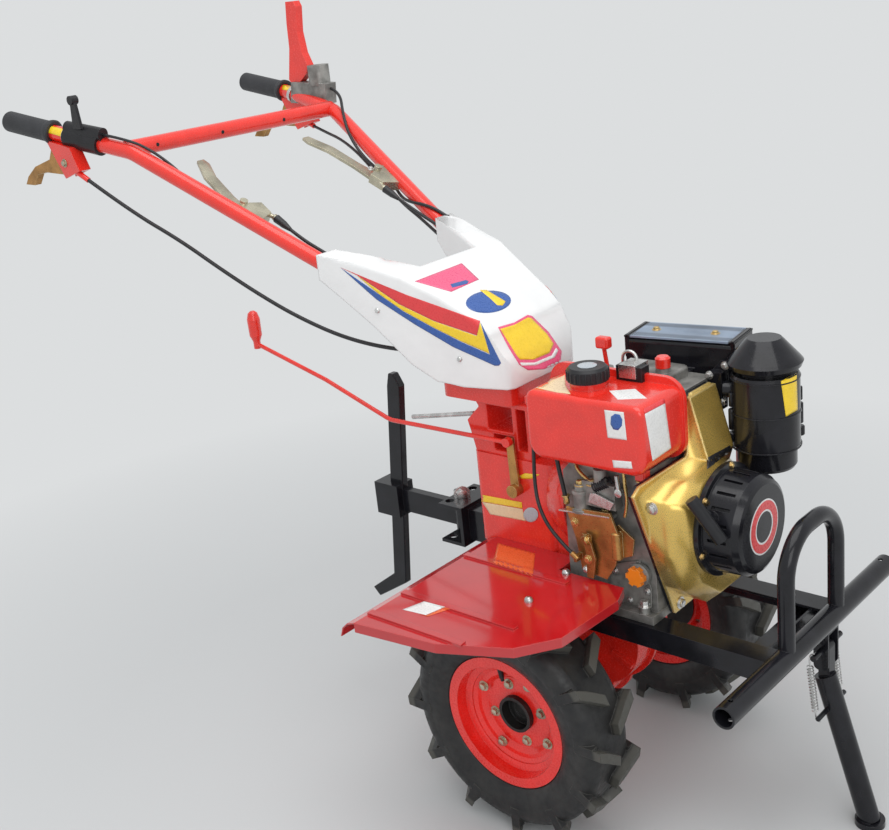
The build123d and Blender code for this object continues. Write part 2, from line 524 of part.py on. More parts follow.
# Control cables, each along its own route, and the rubber boots of the steering ones
CABLES = {
    "cable_drive": (3.5, [(-838, -284, 1044), (-757, -260.4, 985), (-673, -230, 932), (-606, -204, 879),
                          (-541, -177, 830), (-478, -150, 788), (-390, -130, 755), (-300, -108, 739),
                          (-240, -76, 735), (-208, -50, 742), (-182, -36, 744)]),
    "cable_throttle": (2.5, [(-800, -262, 1121), (-758, -255.1, 1113.6), (-712, -239, 1097), (-677, -210, 1056),
                             (-643, -202, 1018), (-596, -195, 982), (-546, -182, 954), (-495, -166, 929),
                             (-445, -150, 906), (-396, -134.5, 880)]),
    "cable_steer_right": (3.2, [(-485.2, -136, 940.5), (-455, -136, 924), (-422, -134, 909.5), (-384, -132.5, 893)]),
    "cable_steer_left": (3.2, [(-485.2, 136, 940.5), (-455, 136, 924), (-422, 134, 909.5), (-384, 132.5, 893)]),
    "cable_reverse": (3.0, [(-846, 279, 1054), (-802, 271, 1042), (-740, 250, 1032), (-675, 226, 1012),
                            (-622, 206, 988), (-586, 190, 970), (-544, 180, 944), (-493, 164, 919),
                            (-446, 149, 903), (-396, 135, 880)]),
    "cable_lock": (3.0, [(-773, 272, 1130), (-742, 267, 1122), (-700, 227, 1085), (-668, 205, 1047),
                         (-632, 200, 1007), (-595, 203, 979), (-549, 194, 954), (-513, 173, 935),
                         (-471, 151, 932), (-430, 151, 928), (-395, 156, 913), (-375, 158, 899)]),
    "cable_governor": (3.0, [(-24, -95, 680), (-24, -95, 645), (-21, -102, 600), (-19, -109, 552),
                             (-9, -116, 512), (18, -121, 475), (56, -124, 451)]),
}
for name, (radius, route) in CABLES.items():
    radii = cord_radii(route)
    print(name, "smallest arc", round(min(radii)), "of", round(2 * radius, 1), "mm cable")
    parts[name] = pipe(route, radii, radius)

BOOT_LENGTH = 36.2
boot = boot_axis * loft([Circle(7.5), Pos(0, 0, 20) * Circle(6.5), Pos(0, 0, BOOT_LENGTH) * Circle(3.6)], ruled=True)
parts["cable_boots"] = boot + mirrored(boot)

grips = pipe([(-926, 281.3, 1128.2), (-985, 284.2, 1138), (-1053, 287.5, 1149.5)], 200, GRIP_R)
parts["grips"] = grips - bars + (mirrored(grips) - bars)

HOOD_SIDE = [(-390, 868), (-297, 788), (-236, 726), (-196, 699), (-150, 692), (-66, 692), (-58, 706), (-70, 738),
             (-94, 786), (-116, 806), (-178, 843), (-242, 876), (-300, 892), (-390, 910)]
HOOD_PLAN = [(-392, 128), (-392, 172), (-351, 160), (-242, 133), (-178, 113), (-116, 100), (-74, 90), (-58, 66)]
NOTCH = [(-255, 70), (-330, 104)]
WALL = 4.0


def hood_block(inset):
    # the pressed shell, or with an inset the room inside it, open below
    plan = HOOD_PLAN + [(x, -y) for x, y in HOOD_PLAN[::-1]] + [(x, -y) for x, y in NOTCH[::-1]] + NOTCH
    plan_face = make_face(Polyline(*plan, close=True))
    side_face = make_face(Polyline(*HOOD_SIDE, close=True))
    if inset:
        plan_face = offset(plan_face, amount=-inset, kind=Kind.INTERSECTION)
        side_face = offset(side_face, amount=-inset, kind=Kind.INTERSECTION)
    tall = extrude(plan_face, amount=1000)
    wide = extrude(Plane.XZ * side_face, amount=200, both=True)
    return tall & wide


room = hood_block(WALL)
hood = hood_block(0) - room
hood -= Pos(0, 0, -6) * room
hood -= tube + mirrored(tube)
for name in ("cable_throttle", "cable_steer_right", "cable_steer_left", "cable_reverse", "cable_lock"):
    radius, route = CABLES[name]
    hood -= pipe(route, cord_radii(route), radius + 0.5)
parts["hood"] = hood

# Move the origin to the middle of the overall box
boxes = [shape.bounding_box() for shape in parts.values()]
SHIFT_X = -(min(b.min.X for b in boxes) + max(b.max.X for b in boxes)) / 2
SHIFT_Y = -(min(b.min.Y for b in boxes) + max(b.max.Y for b in boxes)) / 2

for name, shape in parts.items():
    export_step(Pos(SHIFT_X, SHIFT_Y, 0) * shape, "parts/" + name + ".step")
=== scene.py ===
import bpy
import bmesh
import json
import math
from mathutils import Matrix, Vector
from mathutils.bvhtree import BVHTree

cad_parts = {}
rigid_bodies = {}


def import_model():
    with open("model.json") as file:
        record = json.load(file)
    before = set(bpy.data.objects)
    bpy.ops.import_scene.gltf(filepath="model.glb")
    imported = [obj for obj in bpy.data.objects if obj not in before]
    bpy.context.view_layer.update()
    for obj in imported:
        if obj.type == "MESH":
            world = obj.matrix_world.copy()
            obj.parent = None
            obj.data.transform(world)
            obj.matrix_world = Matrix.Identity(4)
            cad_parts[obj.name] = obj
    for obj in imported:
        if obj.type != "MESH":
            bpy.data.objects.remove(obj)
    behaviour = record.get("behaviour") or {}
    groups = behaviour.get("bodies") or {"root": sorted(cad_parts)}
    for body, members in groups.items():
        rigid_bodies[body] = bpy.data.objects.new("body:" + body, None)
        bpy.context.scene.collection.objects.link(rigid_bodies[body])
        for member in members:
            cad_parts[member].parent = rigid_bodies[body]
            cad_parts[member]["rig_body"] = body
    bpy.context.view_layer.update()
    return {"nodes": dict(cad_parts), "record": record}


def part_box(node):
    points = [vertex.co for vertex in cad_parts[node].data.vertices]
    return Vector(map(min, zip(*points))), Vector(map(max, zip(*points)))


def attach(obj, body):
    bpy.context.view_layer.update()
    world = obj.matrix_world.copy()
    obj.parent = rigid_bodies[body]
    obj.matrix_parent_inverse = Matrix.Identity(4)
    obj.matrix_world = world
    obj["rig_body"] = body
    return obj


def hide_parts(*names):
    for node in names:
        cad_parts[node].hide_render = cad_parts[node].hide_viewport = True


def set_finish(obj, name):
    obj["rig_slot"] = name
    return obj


# Looks of the garden cultivator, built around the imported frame.
# Points are written in millimetres in the machine's own axes: X = 0 over the axle, Z = 0 on the floor.

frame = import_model()
nodes = frame["nodes"]
SLOTS = {entry["slot"] for entry in frame["record"]["materials"]}

MM = 0.001
rim_low, rim_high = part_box("rim_left")
AXLE = Vector(((rim_low.x + rim_high.x) / 2, 0, 0))
AXLE_Z = (rim_low.z + rim_high.z) / 2 / MM
WHEEL_Y = (rim_low.y + rim_high.y) / 2 / MM


def at(x, y, z):
    return AXLE + Vector((x, y, z)) * MM


# Camera, at the photograph's viewing angle

CAMERA_PLACE = at(1148.9, -1538.4, 1320.6)
CAMERA_TURN = math.radians(43.3)
CAMERA_RISE = math.radians(19.18)
CAMERA_ROLL = math.radians(-6.3)
FOCAL_PIXELS = 1254.0
PHOTO_WIDTH = 889.0
PHOTO_MIDDLE = (444.5, 415.0)

back = Vector((math.sin(CAMERA_TURN) * math.cos(CAMERA_RISE), -math.cos(CAMERA_TURN) * math.cos(CAMERA_RISE),
               math.sin(CAMERA_RISE)))
level = Vector((math.cos(CAMERA_TURN), math.sin(CAMERA_TURN), 0))
upright = back.cross(level)
right = level * math.cos(CAMERA_ROLL) + upright * math.sin(CAMERA_ROLL)
up = upright * math.cos(CAMERA_ROLL) - level * math.sin(CAMERA_ROLL)


def make_camera():
    data = bpy.data.cameras.new("camera")
    camera = bpy.data.objects.new("camera", data)
    bpy.context.scene.collection.objects.link(camera)
    camera.matrix_world = Matrix.Translation(CAMERA_PLACE) @ Matrix((right, up, back)).transposed().to_4x4()
    data.sensor_width = 36.0
    data.lens = FOCAL_PIXELS / PHOTO_WIDTH * data.sensor_width
    bpy.context.scene.camera = camera
    bpy.context.scene.view_settings.view_transform = "Standard"


make_camera()


# Materials

def new_material(name):
    material = bpy.data.materials.new(name)
    material.use_nodes = True
    tree = material.node_tree
    return material, tree, tree.nodes["Principled BSDF"]


def vector_math(tree, operation, vector, other=None):
    node = tree.nodes.new("ShaderNodeVectorMath")
    node.operation = operation
    tree.links.new(vector, node.inputs[0])
    if other is not None:
        node.inputs[1].default_value = other
    return node.outputs["Value" if operation == "LENGTH" else "Vector"]


def object_place(tree):
    return tree.nodes.new("ShaderNodeTexCoord").outputs["Object"]


def noise(tree, scale, detail=4.0, roughness=0.55):
    texture = tree.nodes.new("ShaderNodeTexNoise")
    texture.inputs["Scale"].default_value = scale
    texture.inputs["Detail"].default_value = detail
    texture.inputs["Roughness"].default_value = roughness
    tree.links.new(object_place(tree), texture.inputs["Vector"])
    return texture.outputs["Fac"]


def spread_over(tree, value, low, high, start=0.35, end=0.65):
    remap = tree.nodes.new("ShaderNodeMapRange")
    remap.inputs["From Min"].default_value = start
    remap.inputs["From Max"].default_value = end
    remap.inputs["To Min"].default_value = low
    remap.inputs["To Max"].default_value = high
    tree.links.new(value, remap.inputs["Value"])
    return remap.outputs["Result"]


def mixed(tree, factor, first, second):
    mix = tree.nodes.new("ShaderNodeMix")
    mix.data_type = "RGBA"
    tree.links.new(factor, mix.inputs["Factor"])
    for socket, value in ((mix.inputs[6], first), (mix.inputs[7], second)):
        if isinstance(value, tuple):
            socket.default_value = value + (1.0,)
        else:
            tree.links.new(value, socket)
    return mix.outputs[2]


def shade(color, factor):
    return tuple(min(1.0, c * factor) for c in color)


def rounded_edges(tree, radius):
    bevel = tree.nodes.new("ShaderNodeBevel")
    bevel.samples = 4
    bevel.inputs["Radius"].default_value = radius * MM
    return bevel.outputs["Normal"]


def edge_highlight_mask(tree, rounded):
    # 1 along edges and corners, where the rounded normal leaves the true one: the mask of the painted edge
    # highlight
    dot = tree.nodes.new("ShaderNodeVectorMath")
    dot.operation = "DOT_PRODUCT"
    tree.links.new(tree.nodes.new("ShaderNodeNewGeometry").outputs["Normal"], dot.inputs[0])
    tree.links.new(rounded, dot.inputs[1])
    return spread_over(tree, dot.outputs["Value"], 1.0, 0.0, 0.80, 0.995)


def relief(tree, shader, height, strength, depth, under):
    bump = tree.nodes.new("ShaderNodeBump")
    bump.inputs["Strength"].default_value = strength
    bump.inputs["Distance"].default_value = depth * MM
    tree.links.new(height, bump.inputs["Height"])
    tree.links.new(under, bump.inputs["Normal"])
    tree.links.new(bump.outputs["Normal"], shader.inputs["Normal"])


def surface(name, color, rough=(0.4, 0.5), metallic=0.0, coat=0.0, grain=30.0, spread=0.1,
            bump=0.0, bump_grain=300.0, edge_radius=1.2, edge_highlight=None, specular=0.5):
    """A finished material: mottled colour, uneven gloss, fine relief, softened edges with a painted highlight
    along them.
    """
    material, tree, shader = new_material(name)
    broad = noise(tree, grain)
    tone = mixed(tree, spread_over(tree, broad, 0.0, 1.0), shade(color, 1 - spread), shade(color, 1 + spread))
    rounded = rounded_edges(tree, edge_radius)
    # painted highlight: edges and corners coloured lighter than the face, as if catching the light
    if edge_highlight:
        tone = mixed(tree, edge_highlight_mask(tree, rounded), tone, edge_highlight)
    tree.links.new(tone, shader.inputs["Base Color"])
    fine = noise(tree, bump_grain, 3.0)
    tree.links.new(spread_over(tree, fine, rough[0], rough[1]), shader.inputs["Roughness"])
    shader.inputs["Metallic"].default_value = metallic
    shader.inputs["Specular IOR Level"].default_value = specular
    shader.inputs["Coat Weight"].default_value = coat
    shader.inputs["Coat Roughness"].default_value = 0.08
    relief(tree, shader, fine, bump, 0.4, rounded)
    return material


LUG_START = 0.1815
LUG_WORN = 0.187


def tyre_material():
    # black rubber, dusty in patches, with the lug tops scuffed grey and a painted highlight along the edges
    material, tree, shader = new_material("tyre_rubber")
    tone = mixed(tree, spread_over(tree, noise(tree, 22.0, 6.0), 0.0, 1.0, 0.4, 0.75),
                 (0.008, 0.008, 0.009), (0.030, 0.029, 0.027))
    from_axle = vector_math(tree, "SUBTRACT", object_place(tree), at(0, 0, AXLE_Z))
    radius = vector_math(tree, "LENGTH", vector_math(tree, "MULTIPLY", from_axle, (1.0, 0.0, 1.0)))
    tone = mixed(tree, spread_over(tree, radius, 0.0, 0.8, LUG_START, LUG_WORN), tone, (0.085, 0.082, 0.07))
    rounded = rounded_edges(tree, 2.5)
    # painted highlight along the lug edges
    tone = mixed(tree, edge_highlight_mask(tree, rounded), tone, (0.06, 0.058, 0.05))
    tree.links.new(tone, shader.inputs["Base Color"])
    tree.links.new(spread_over(tree, noise(tree, 90.0), 0.36, 0.60), shader.inputs["Roughness"])
    relief(tree, shader, noise(tree, 700.0, 2.0), 0.3, 0.6, rounded)
    return material


MUFFLER_MIDDLE = at(108, 159, 738)
MUFFLER_TURN = math.radians(8.4)
SLOT_PITCH = 4.2
SLOT_BAND = (28.0, 9.0)         # middle and half width of each band of slots
GUARD_END = 83.5


def math_node(tree, operation, value, *others):
    node = tree.nodes.new("ShaderNodeMath")
    node.operation = operation
    tree.links.new(value, node.inputs[0])
    for index, other in enumerate(others):
        if isinstance(other, float):
            node.inputs[index + 1].default_value = other
        else:
            tree.links.new(other, node.inputs[index + 1])
    return node.outputs["Value"]


def guard_material():
    # a blue-grey sheet with two bands of narrow slots along its edges and black ends
    material, tree, shader = new_material("guard_sheet")
    turn = tree.nodes.new("ShaderNodeMapping")
    turn.inputs["Rotation"].default_value = (0, 0, -MUFFLER_TURN)
    tree.links.new(vector_math(tree, "SUBTRACT", object_place(tree), MUFFLER_MIDDLE), turn.inputs["Vector"])
    axes = tree.nodes.new("ShaderNodeSeparateXYZ")
    tree.links.new(vector_math(tree, "ABSOLUTE", turn.outputs["Vector"]), axes.inputs["Vector"])
    wave = math_node(tree, "PINGPONG", axes.outputs["X"], SLOT_PITCH / 2 * MM)
    slots = spread_over(tree, wave, 0.0, 1.0, 0.0009, 0.0012)
    banded = math_node(tree, "COMPARE", axes.outputs["Y"], SLOT_BAND[0] * MM, SLOT_BAND[1] * MM)
    opened = math_node(tree, "MULTIPLY", slots, banded)
    cloud = spread_over(tree, noise(tree, 14.0), 0.0, 1.0)
    sheet = mixed(tree, cloud, (0.17, 0.22, 0.30), (0.30, 0.38, 0.50))
    tone = mixed(tree, opened, sheet, (0.008, 0.01, 0.014))
    ends = spread_over(tree, axes.outputs["X"], 0.0, 1.0, GUARD_END * MM, (GUARD_END + 0.5) * MM)
    tree.links.new(mixed(tree, ends, tone, (0.012, 0.012, 0.015)), shader.inputs["Base Color"])
    tree.links.new(spread_over(tree, noise(tree, 200.0), 0.3, 0.45), shader.inputs["Roughness"])
    shader.inputs["Metallic"].default_value = 0.3
    return material


RED = (0.80, 0.028, 0.016)
LIT_RED = (0.80, 0.12, 0.10)
BLACK = (0.010, 0.010, 0.013)


def make_materials():
    made = {
        "tyre_rubber": tyre_material(),
        "guard_sheet": guard_material(),
        "wheel_red": surface("wheel_red", (0.90, 0.022, 0.015), (0.22, 0.34), coat=0.5, edge_highlight=LIT_RED,
                             spread=0.06),
        # steel coloured nearly black: painted shade for the deep, shadowed hub centres
        "bare_steel": surface("bare_steel", (0.035, 0.034, 0.033), (0.35, 0.55), metallic=0.6, grain=60.0,
                              spread=0.25, bump=0.3, edge_highlight=(0.10, 0.10, 0.10)),
        "red_paint": surface("red_paint", RED, (0.20, 0.30), coat=0.6, edge_highlight=LIT_RED, spread=0.06),
        # a darker copy of the red paint for the fenders: painted shade, with a painted highlight on its edges
        "shaded_fender_red": surface("shaded_fender_red", (0.52, 0.010, 0.014), (0.14, 0.22), coat=1.0, edge_radius=2.5,
                              edge_highlight=(0.75, 0.05, 0.05), spread=0.08, grain=9.0),
        "black_paint": surface("black_paint", BLACK, (0.14, 0.24), coat=0.15, spread=0.3, specular=0.3,
                               edge_highlight=(0.03, 0.03, 0.035)),
        "cast_aluminium": surface("cast_aluminium", (0.25, 0.245, 0.23), (0.42, 0.62), metallic=0.5,
                                  grain=38.0, spread=0.35, bump=0.8, bump_grain=420.0,
                                  edge_highlight=(0.45, 0.44, 0.42)),
        "gold_paint": surface("gold_paint", (0.72, 0.49, 0.12), (0.24, 0.34), metallic=0.7, coat=0.5,
                              grain=16.0, spread=0.08, bump=0.06, bump_grain=900.0, edge_radius=5.0,
                              edge_highlight=(0.88, 0.70, 0.32)),
        "black_plastic": surface("black_plastic", (0.014, 0.014, 0.016), (0.30, 0.42), spread=0.2, bump=0.3,
                                 bump_grain=900.0, specular=0.35, edge_highlight=(0.05, 0.05, 0.055)),
        "orange_plastic": surface("orange_plastic", (0.85, 0.22, 0.01), (0.3, 0.42), spread=0.08,
                                  edge_highlight=(0.9, 0.4, 0.12)),
        "yellow_zinc": surface("yellow_zinc", (0.42, 0.22, 0.07), (0.26, 0.42), metallic=0.8, grain=24.0,
                               spread=0.35, bump=0.15, edge_highlight=(0.75, 0.6, 0.32)),
        "lever_zinc": surface("lever_zinc", (0.46, 0.43, 0.33), (0.24, 0.38), metallic=0.85, grain=20.0,
                              spread=0.3, bump=0.12, edge_highlight=(0.7, 0.62, 0.4)),
        "grip_rubber": surface("grip_rubber", (0.026, 0.027, 0.031), (0.5, 0.66), spread=0.2, bump=0.5,
                               bump_grain=700.0, edge_highlight=(0.07, 0.07, 0.075)),
        "white_plastic": surface("white_plastic", (0.82, 0.82, 0.82), (0.16, 0.26), coat=0.4, spread=0.02,
                                 edge_radius=4.0, edge_highlight=(0.88, 0.88, 0.88)),
        "zinc": surface("zinc", (0.60, 0.60, 0.59), (0.22, 0.38), metallic=0.95, grain=70.0, spread=0.18,
                        edge_highlight=(0.8, 0.8, 0.79)),
        "brass": surface("brass", (0.62, 0.42, 0.16), (0.22, 0.36), metallic=0.95, grain=60.0, spread=0.2,
                         edge_highlight=(0.85, 0.68, 0.35)),
        "cable_black": surface("cable_black", (0.016, 0.016, 0.018), (0.32, 0.46), spread=0.25, bump=0.2,
                               edge_radius=0.4),
    }
    label_colors = {
        "label_white": (0.80, 0.80, 0.79),
        "label_yellow": (0.90, 0.62, 0.02),
        "label_pink": (0.80, 0.10, 0.22),
        "label_red": (0.74, 0.045, 0.05),
        "label_blue": (0.03, 0.10, 0.36),
        "label_cream": (0.80, 0.62, 0.38),
        "label_orange": (0.80, 0.13, 0.03),
        "label_silver": (0.42, 0.46, 0.50),
        "label_black": (0.015, 0.015, 0.018),
    }
    for name, color in label_colors.items():
        made[name] = surface(name, color, (0.24, 0.34), coat=0.3, spread=0.04, grain=80.0, edge_radius=0.2)
    return made


materials = make_materials()
# the fenders take the darker red copy, a painted shade
SCENE_LOOK = {"muffler_guard": "guard_sheet", "fender_left": "shaded_fender_red", "fender_right": "shaded_fender_red",
              "steer_levers": "lever_zinc"}


def dress_nodes():
    for part in frame["record"]["subparts"]:
        node = part["node"]
        look = SCENE_LOOK.get(node, part["material_slot"])
        nodes[node].data.materials.clear()
        nodes[node].data.materials.append(materials[look])


dress_nodes()


# Pieces

SMOOTH_ANGLE = math.radians(35)


def piece(name, data, body, material):
    made = bpy.data.objects.new(name, data)
    bpy.context.scene.collection.objects.link(made)
    data.materials.append(materials[material])
    if isinstance(data, bpy.types.Mesh):
        for polygon in data.polygons:
            polygon.use_smooth = True
        data.set_sharp_from_angle(angle=SMOOTH_ANGLE)
    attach(made, body)
    if material in SLOTS:
        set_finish(made, material)
    return made


def mesh_from(name, build):
    bm = bmesh.new()
    build(bm)
    bmesh.ops.recalc_face_normals(bm, faces=bm.faces)
    mesh = bpy.data.meshes.new(name)
    bm.to_mesh(mesh)
    bm.free()
    return mesh


def lathe(bm, profile, origin, axis, sides=32, closed=False):
    # profile holds (distance along the axis, radius) in millimetres
    axis = Vector(axis).normalized()
    across = axis.orthogonal().normalized()
    other = axis.cross(across)
    rings = []
    for along, radius in profile:
        ring = []
        for index in range(sides):
            angle = 2 * math.pi * index / sides
            spoke = across * math.cos(angle) + other * math.sin(angle)
            ring.append(bm.verts.new(origin + (axis * along + spoke * radius) * MM))
        rings.append(ring)
    followers = rings[1:] + rings[:1] if closed else rings[1:]
    for ring, following in zip(rings, followers):
        for index in range(sides):
            after = (index + 1) % sides
            bm.faces.new((ring[index], ring[after], following[after], following[index]))
    if not closed:
        bm.faces.new(rings[0][::-1])
        bm.faces.new(rings[-1])


def slab(bm, outline, depth):
    # a flat outline pushed along one direction, in millimetres
    push = Vector(depth) * MM
    first = [bm.verts.new(at(*point)) for point in outline]
    second = [bm.verts.new(vert.co + push) for vert in first]
    bm.faces.new(first)
    bm.faces.new(second[::-1])
    for index, vert in enumerate(first):
        after = (index + 1) % len(first)
        bm.faces.new((vert, second[index], second[after], first[after]))
    return first + second


def brick(bm, low, high, edge=1.0):
    # a block with its edges broken
    corners = slab(bm, [(low[0], low[1], low[2]), (high[0], low[1], low[2]), (high[0], high[1], low[2]),
                        (low[0], high[1], low[2])], (0, 0, high[2] - low[2]))
    edges = list({e for vert in corners for e in vert.link_edges})
    bmesh.ops.bevel(bm, geom=edges, offset=edge * MM, segments=2, affect="EDGES")


def hex_head(bm, origin, axis, width, height):
    # a washer and a six-sided head with a broken top edge
    lathe(bm, [(-1.0, width * 0.85), (0.9, width * 0.85)], origin, axis, 24)
    lathe(bm, [(0.8, width * 0.577), (height - 0.6, width * 0.577), (height, width * 0.47)], origin, axis, 6)


def dome_head(bm, origin, axis, width, height):
    radius = width / 2
    lathe(bm, [(-1.0, radius), (height * 0.3, radius), (height * 0.75, radius * 0.8), (height, radius * 0.4)],
          origin, axis, 24)


def rope(name, body, points, radius, material):
    # a wire, hose or cable along one smooth curve
    data = bpy.data.curves.new(name, "CURVE")
    data.dimensions = "3D"
    data.bevel_depth = radius * MM
    data.bevel_resolution = 3
    data.resolution_u = 10
    data.use_fill_caps = True
    spline = data.splines.new("NURBS")
    spline.points.add(len(points) - 1)
    for control, point in zip(spline.points, points):
        control.co = at(*point).to_4d()
    spline.order_u = 3
    spline.use_endpoint_u = True
    return piece(name, data, body, material)


# Control cables, along the same points as their solids in the frame

CABLES = {
    "cable_drive": (3.5, [(-838, -284, 1044), (-757, -260.4, 985), (-673, -230, 932), (-606, -204, 879),
                          (-541, -177, 830), (-478, -150, 788), (-390, -130, 755), (-300, -108, 739),
                          (-240, -76, 735), (-208, -50, 742), (-182, -36, 744)]),
    "cable_throttle": (2.5, [(-800, -262, 1121), (-758, -255.1, 1113.6), (-712, -239, 1097),
                             (-677, -210, 1056), (-643, -202, 1018), (-596, -195, 982), (-546, -182, 954),
                             (-495, -166, 929), (-445, -150, 906), (-396, -134.5, 880)]),
    "cable_steer_right": (3.2, [(-485.2, -136, 940.5), (-455, -136, 924), (-422, -134, 909.5),
                                (-384, -132.5, 893)]),
    "cable_steer_left": (3.2, [(-485.2, 136, 940.5), (-455, 136, 924), (-422, 134, 909.5),
                               (-384, 132.5, 893)]),
    "cable_reverse": (3.0, [(-846, 279, 1054), (-802, 271, 1042), (-740, 250, 1032), (-675, 226, 1012),
                            (-622, 206, 988), (-586, 190, 970), (-544, 180, 944), (-493, 164, 919),
                            (-446, 149, 903), (-396, 135, 880)]),
    "cable_lock": (3.0, [(-773, 272, 1130), (-742, 267, 1122), (-700, 227, 1085), (-668, 205, 1047),
                         (-632, 200, 1007), (-595, 203, 979), (-549, 194, 954), (-513, 173, 935),
                         (-471, 151, 932), (-430, 151, 928), (-395, 156, 913), (-375, 158, 899)]),
    "cable_governor": (3.0, [(-24, -95, 680), (-24, -95, 645), (-21, -102, 600), (-19, -109, 552),
                             (-9, -116, 512), (18, -121, 475), (56, -124, 451)]),
}


def cable_length(cable):
    # the centre line that the curve itself draws
    bare = cable.data.copy()
    bare.bevel_depth = 0
    drawn = bpy.data.objects.new("bare", bare)
    line = bpy.data.meshes.new_from_object(drawn)
    total = sum((b.co - a.co).length for a, b in zip(line.vertices, line.vertices[1:]))
    bpy.data.objects.remove(drawn)
    bpy.data.curves.remove(bare)
    bpy.data.meshes.remove(line)
    return total


def make_cables():
    for name, (radius, route) in CABLES.items():
        body = "frame" if name == "cable_governor" else "handlebar"
        cable = rope(name + "_sleeve", body, route, radius, "cable_black")
        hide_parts(name)
        cable_length(cable)


make_cables()

# Softened edges on the pressed and cast parts

SOFT_EDGES = {"crankcase": 3.0, "gear_case": 3.0, "muffler": 2.0, "handle_post": 3.0, "injection_pump": 2.0,
              "rocker_cover": 1.5, "hand_levers": 2.5, "lock_lever": 4.0, "lock_clamp": 2.5, "depth_bar": 2.0,
              "steer_levers": 1.2, "shift_arm": 1.5}
WELD = 0.02             # points of the frame's meshes this close are one


def soften(node, width):
    weld = nodes[node].modifiers.new("weld", "WELD")
    weld.merge_threshold = WELD * MM
    flat = nodes[node].modifiers.new("flat", "DECIMATE")
    flat.decimate_type = "DISSOLVE"
    flat.angle_limit = math.radians(1.0)
    bevel = nodes[node].modifiers.new("bevel", "BEVEL")
    bevel.width = width * MM
    bevel.segments = 3
    bevel.limit_method = "ANGLE"
    bevel.angle_limit = math.radians(25)
    bevel.harden_normals = True


for softened, edge_width in SOFT_EDGES.items():
    soften(softened, edge_width)


# The hood and the blower housing again, with the generous rounding of their mouldings

ROUNDED_SHELLS = {"hood": ("hood_shell", "handlebar", "white_plastic", 8.0),
                  "blower_housing": ("housing_shell", "frame", "gold_paint", 9.0)}
NARROW_FACE = 14.0
SHORT_EDGE = 14.0
LOOKING_DOWN = -0.25
LEAST_FOLD = math.radians(12)
ARM_ENDS = -380.0       # the rear ends of the hood's arms keep their edges


def face_width(face):
    return face.calc_area() / max(edge.calc_length() for edge in face.edges)


def outer_edge(edge):
    # a convex edge between two wide faces that don't look down, with no short edge at its ends
    if len(edge.link_faces) != 2 or not edge.is_convex:
        return False
    if min(face.normal.z for face in edge.link_faces) < LOOKING_DOWN:
        return False
    if edge.calc_face_angle() < LEAST_FOLD:
        return False
    nearby = [other for vert in edge.verts for other in vert.link_edges]
    if min(other.calc_length() for other in nearby) < SHORT_EDGE * MM:
        return False
    if min(vert.co.x for vert in edge.verts) < at(ARM_ENDS, 0, 0).x:
        return False
    return min(face_width(face) for face in edge.link_faces) > NARROW_FACE * MM


def rounded_shell(node, name, body, material, width):
    bm = bmesh.new()
    bm.from_mesh(nodes[node].data)
    bmesh.ops.remove_doubles(bm, verts=bm.verts, dist=WELD * MM)
    bmesh.ops.dissolve_limit(bm, angle_limit=math.radians(1.5), verts=bm.verts, edges=bm.edges)
    bmesh.ops.recalc_face_normals(bm, faces=bm.faces)
    chosen = [edge for edge in bm.edges if outer_edge(edge)]
    bmesh.ops.bevel(bm, geom=chosen, offset=width * MM, segments=4, profile=0.5, affect="EDGES",
                    clamp_overlap=False)
    mesh = bpy.data.meshes.new(name)
    bm.to_mesh(mesh)
    bm.free()
    shell = piece(name, mesh, body, material)
    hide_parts(node)
    return shell


# Finding places on the parts along the photograph's lines of sight

surfaces = {}
for moulding, (shell_name, shell_body, shell_material, rounding) in ROUNDED_SHELLS.items():
    shell = rounded_shell(moulding, shell_name, shell_body, shell_material, rounding)
    surfaces[moulding] = BVHTree.FromObject(shell, bpy.context.evaluated_depsgraph_get())


def surface_of(node):
    if node not in surfaces:
        surfaces[node] = BVHTree.FromObject(nodes[node], bpy.context.evaluated_depsgraph_get())
    return surfaces[node]


def sight(pixel):
    x = (pixel[0] - PHOTO_MIDDLE[0]) / FOCAL_PIXELS
    y = (pixel[1] - PHOTO_MIDDLE[1]) / FOCAL_PIXELS
    return (right * x - up * y - back).normalized()


def seen_on(node, pixel):
    hit, normal, _, _ = surface_of(node).ray_cast(CAMERA_PLACE, sight(pixel))
    return hit, normal


def pixels(view, points):
    # a view is an enlarged part of the photograph: its left, its top and its scale
    left, top, scale = view
    return [(left + u / scale, top + v / scale) for u, v in points]


LABEL_THICKNESS = 0.2
LIFT = 0.4              # of a label over the part, and of those that lie over it
OVER_LIFT = 0.8
TOP_LIFT = 1.2
LABEL_STEP = 3.0        # longest edge of a label's mesh, in the photograph's pixels
LABEL_CUTS = 5


def thicken(label):
    thick = label.modifiers.new("thickness", "SOLIDIFY")
    thick.thickness = LABEL_THICKNESS * MM


def decal(name, node, body, outline, material, lift=LIFT):
    """A thin label on a node, from its outline in the photograph's pixels."""
    bm = bmesh.new()
    bm.faces.new([bm.verts.new((x, y, 0)) for x, y in outline])
    bm.normal_update()
    bmesh.ops.triangulate(bm, faces=bm.faces)
    for _ in range(LABEL_CUTS):
        long_edges = [e for e in bm.edges if e.calc_length() > LABEL_STEP]
        if long_edges:
            bmesh.ops.subdivide_edges(bm, edges=long_edges, cuts=1)
            bmesh.ops.triangulate(bm, faces=bm.faces)
    lost = []
    for vert in bm.verts:
        hit, _ = seen_on(node, vert.co)
        if hit is None:
            lost.append(vert)
        else:
            vert.co = hit - sight(vert.co) * lift * MM
    if lost:
        print("label", name, "leaves", len(lost), "of", len(bm.verts), "points off", node)
        bmesh.ops.delete(bm, geom=lost, context="VERTS")
    mesh = bpy.data.meshes.new(name)
    bm.to_mesh(mesh)
    bm.free()
    label = piece(name, mesh, body, material)
    thicken(label)
    return label


